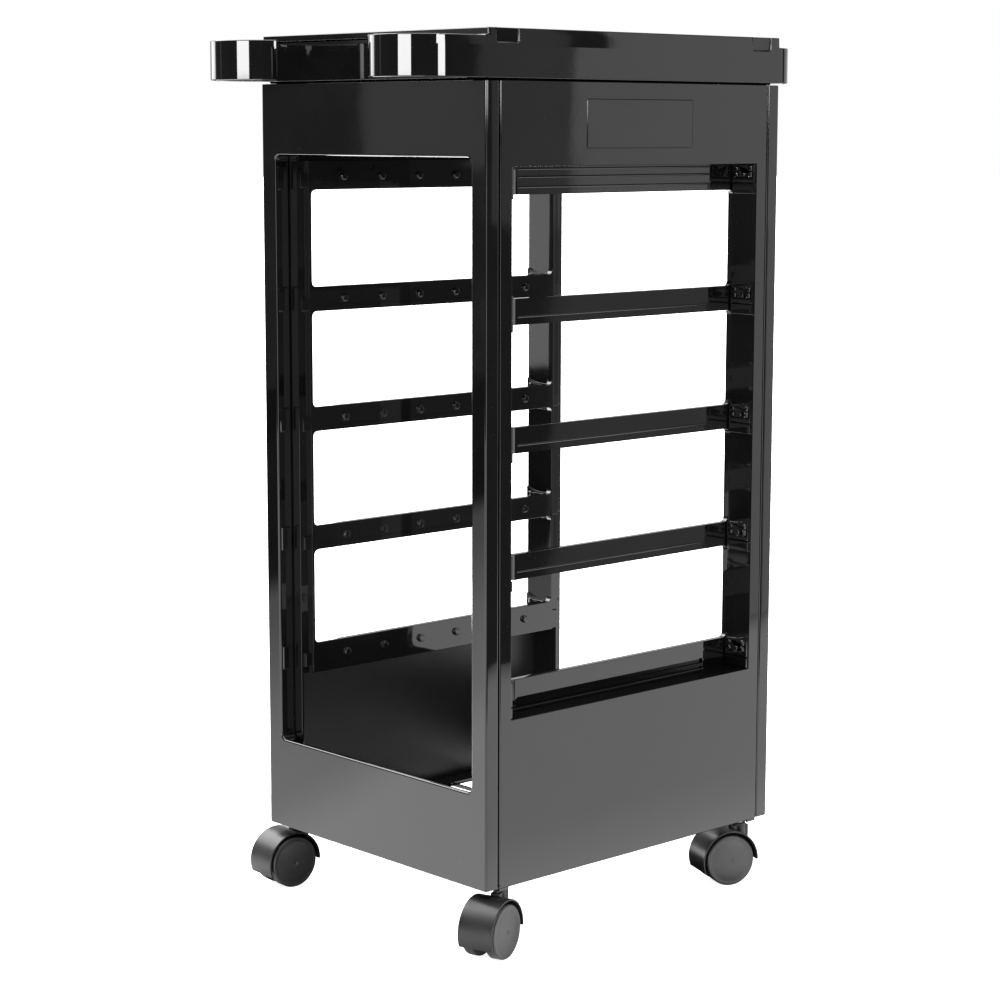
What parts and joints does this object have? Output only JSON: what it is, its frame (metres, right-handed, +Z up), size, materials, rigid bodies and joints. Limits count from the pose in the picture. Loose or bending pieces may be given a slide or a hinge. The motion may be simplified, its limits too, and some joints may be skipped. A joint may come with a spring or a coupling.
{
  "type": "salon trolley",
  "caption": "Rolling salon trolley: open glossy black cabinet with ladder sides for drawers, a notched top tray with two dryer hooks, on twin-wheel castors.",
  "frame": {"origin": "centre of the bounding box at floor level, under the wheels", "axes": "+Z up, -Y towards the open front with the dryer hooks, +X towards the right side panel"},
  "size_m": [0.3628, 0.5056, 0.851],
  "materials": {
    "gloss_black": "glossy moulded ABS",
    "hood_black": "satin moulded nylon",
    "wheel_black": "satin moulded nylon with a fine mould texture",
    "steel": "zinc-plated steel"
  },
  "bodies": {
    "cabinet": {"top_tray": "gloss_black", "front_frame": "gloss_black", "back_frame": "gloss_black", "left_side_panel": "gloss_black", "right_side_panel": "gloss_black", "base_frame": "gloss_black", "castor_socket_front_right": "hood_black", "castor_socket_front_left": "hood_black", "castor_socket_back_right": "hood_black", "castor_socket_back_left": "hood_black", "tray_screw_1": "steel", "tray_screw_2": "steel", "tray_screw_3": "steel", "tray_screw_4": "steel", "base_side_screw_1": "steel", "base_side_screw_2": "steel", "base_side_screw_3": "steel", "base_side_screw_4": "steel", "base_end_screw_1": "steel", "base_end_screw_2": "steel", "base_end_screw_3": "steel", "base_end_screw_4": "steel"},
    "castor_front_right": {"castor_hood_front_right": "hood_black", "castor_stem_front_right": "steel", "castor_axle_front_right": "steel"},
    "wheel_front_right_r": {"castor_wheel_front_right_r": "wheel_black"},
    "wheel_front_right_l": {"castor_wheel_front_right_l": "wheel_black"},
    "castor_front_left": {"castor_hood_front_left": "hood_black", "castor_stem_front_left": "steel", "castor_axle_front_left": "steel"},
    "wheel_front_left_r": {"castor_wheel_front_left_r": "wheel_black"},
    "wheel_front_left_l": {"castor_wheel_front_left_l": "wheel_black"},
    "castor_back_right": {"castor_hood_back_right": "hood_black", "castor_stem_back_right": "steel", "castor_axle_back_right": "steel"},
    "wheel_back_right_r": {"castor_wheel_back_right_r": "wheel_black"},
    "wheel_back_right_l": {"castor_wheel_back_right_l": "wheel_black"},
    "castor_back_left": {"castor_hood_back_left": "hood_black", "castor_stem_back_left": "steel", "castor_axle_back_left": "steel"},
    "wheel_back_left_r": {"castor_wheel_back_left_r": "wheel_black"},
    "wheel_back_left_l": {"castor_wheel_back_left_l": "wheel_black"}
  },
  "joints": [
    {"name": "swivel_front_right", "type": "hinge", "parent": "cabinet", "child": "castor_front_right", "pos_m": [0.151, -0.14075, 0.0605], "axis": [0, 0, 1], "continuous": true},
    {"name": "spin_front_right_r", "type": "hinge", "parent": "castor_front_right", "child": "wheel_front_right_r", "pos_m": [0.16658, -0.15409, 0.026], "axis": [0.9511, 0.309, 0], "continuous": true},
    {"name": "spin_front_right_l", "type": "hinge", "parent": "castor_front_right", "child": "wheel_front_right_l", "pos_m": [0.14623, -0.1607, 0.026], "axis": [0.9511, 0.309, 0], "continuous": true},
    {"name": "swivel_front_left", "type": "hinge", "parent": "cabinet", "child": "castor_front_left", "pos_m": [-0.151, -0.14075, 0.0605], "axis": [0, 0, 1], "continuous": true},
    {"name": "spin_front_left_r", "type": "hinge", "parent": "castor_front_left", "child": "wheel_front_left_r", "pos_m": [-0.14155, -0.15895, 0.026], "axis": [0.9976, -0.0698, 0], "continuous": true},
    {"name": "spin_front_left_l", "type": "hinge", "parent": "castor_front_left", "child": "wheel_front_left_l", "pos_m": [-0.1629, -0.15746, 0.026], "axis": [0.9976, -0.0698, 0], "continuous": true},
    {"name": "swivel_back_right", "type": "hinge", "parent": "cabinet", "child": "castor_back_right", "pos_m": [0.151, 0.19325, 0.0605], "axis": [0, 0, 1], "continuous": true},
    {"name": "spin_back_right_r", "type": "hinge", "parent": "castor_back_right", "child": "wheel_back_right_r", "pos_m": [0.15437, 0.17302, 0.026], "axis": [0.9272, -0.3746, 0], "continuous": true},
    {"name": "spin_back_right_l", "type": "hinge", "parent": "castor_back_right", "child": "wheel_back_right_l", "pos_m": [0.13452, 0.18103, 0.026], "axis": [0.9272, -0.3746, 0], "continuous": true},
    {"name": "swivel_back_left", "type": "hinge", "parent": "cabinet", "child": "castor_back_left", "pos_m": [-0.151, 0.19325, 0.0605], "axis": [0, 0, 1], "continuous": true},
    {"name": "spin_back_left_r", "type": "hinge", "parent": "castor_back_left", "child": "wheel_back_left_r", "pos_m": [-0.14623, 0.1733, 0.026], "axis": [0.9511, -0.309, 0], "continuous": true},
    {"name": "spin_back_left_l", "type": "hinge", "parent": "castor_back_left", "child": "wheel_back_left_l", "pos_m": [-0.16658, 0.17991, 0.026], "axis": [0.9511, -0.309, 0], "continuous": true}
  ]
}
